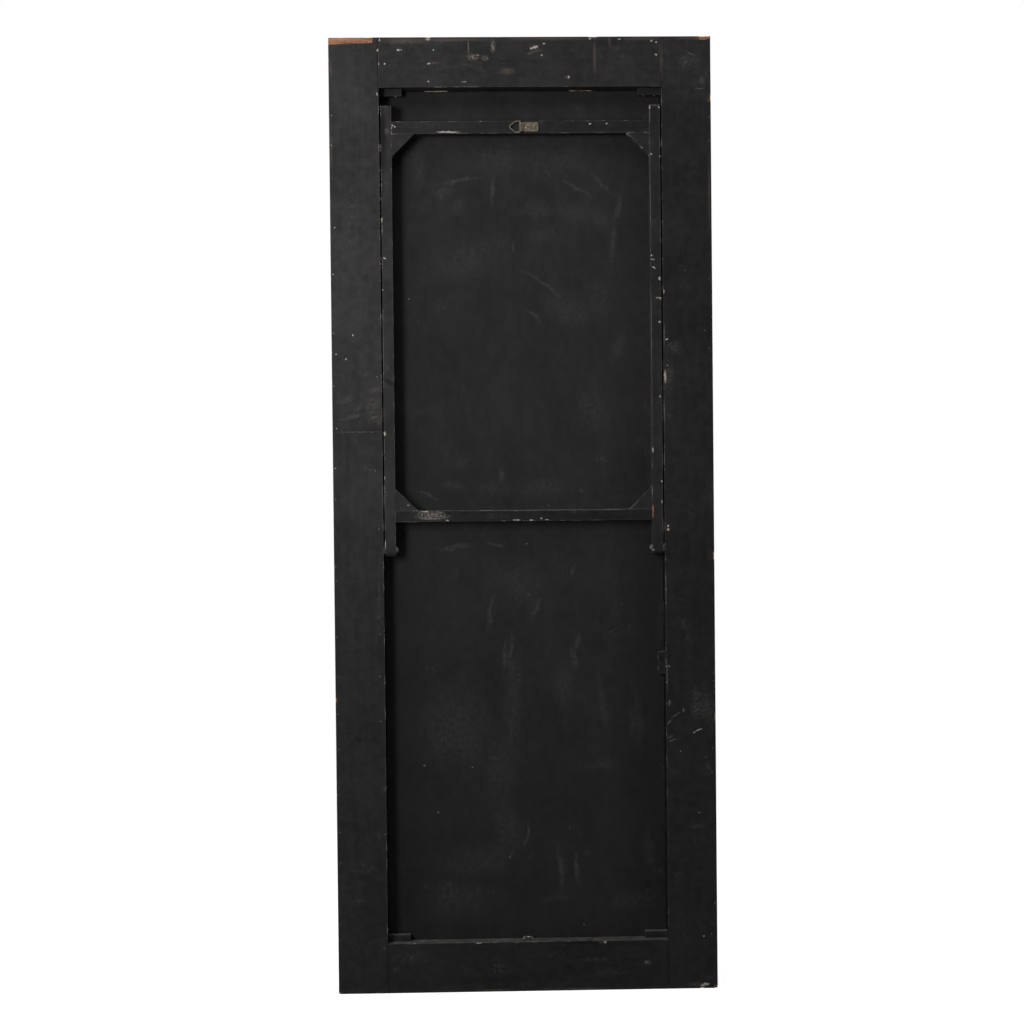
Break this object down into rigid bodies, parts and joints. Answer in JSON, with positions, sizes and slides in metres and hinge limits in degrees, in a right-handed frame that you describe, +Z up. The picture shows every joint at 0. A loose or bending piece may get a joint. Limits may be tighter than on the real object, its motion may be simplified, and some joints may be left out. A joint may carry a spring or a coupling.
{
  "type": "floor mirror",
  "caption": "Tall framed floor mirror in black painted wood, with an easel on the back that folds into the frame and swings out to prop it.",
  "frame": {"origin": "middle of the bottom of the whole object, on the floor", "axes": "+Z up along the height, the glass faces -Y, the back with the folding easel faces +Y, +X is to the left for someone who looks at the back"},
  "size_m": [0.73, 0.0654, 1.83],
  "materials": {
    "black_paint": "old satin black paint on wood, with chips and rubbed edges",
    "board_paint": "matt black paint on a thin board, with faint smudges and scratches",
    "front_finish": "smoother black paint on moulded wood",
    "silvered_glass": "bevelled mirror plate",
    "aged_brass": "dulled brass",
    "iron": "dull iron with specks of paint",
    "painted_wire": "iron wire, painted over",
    "bare_softwood": "unpainted softwood"
  },
  "bodies": {
    "frame": {"backboard": "board_paint", "block_bottom_left": "black_paint", "block_bottom_right": "black_paint", "block_nails": "iron", "block_side_right": "black_paint", "block_top_left": "black_paint", "block_top_right": "black_paint", "bottom_rail": "black_paint", "glass_wedges": "bare_softwood", "mirror_glass": "silvered_glass", "moulding_bottom": "front_finish", "moulding_left": "front_finish", "moulding_pins": "iron", "moulding_right": "front_finish", "moulding_top": "front_finish", "pivot_screw_left": "iron", "pivot_screw_right": "iron", "pivot_washers": "iron", "stile_left": "black_paint", "stile_right": "black_paint", "tie_staple": "painted_wire", "top_rail": "black_paint"},
    "easel": {"easel_bottom_rail": "black_paint", "easel_leg_left": "black_paint", "easel_leg_right": "black_paint", "easel_top_rail": "black_paint", "gusset_bottom_left": "black_paint", "gusset_bottom_right": "black_paint", "gusset_nails": "iron", "gusset_top_left": "black_paint", "gusset_top_right": "black_paint", "hanger_screws": "aged_brass", "hanger_strap": "aged_brass"},
    "ring": {"hanger_ring": "aged_brass"}
  },
  "joints": [
    {"name": "easel_hinge", "type": "hinge", "parent": "frame", "child": "easel", "pos_m": [0, 0.0143, 0.852], "axis": [-1, 0, 0], "range_deg": [0, 160]},
    {"name": "ring_swing", "type": "hinge", "parent": "easel", "child": "ring", "pos_m": [0, 0.03, 1.65825], "axis": [0, 0, 1], "range_deg": [0, 160]}
  ]
}
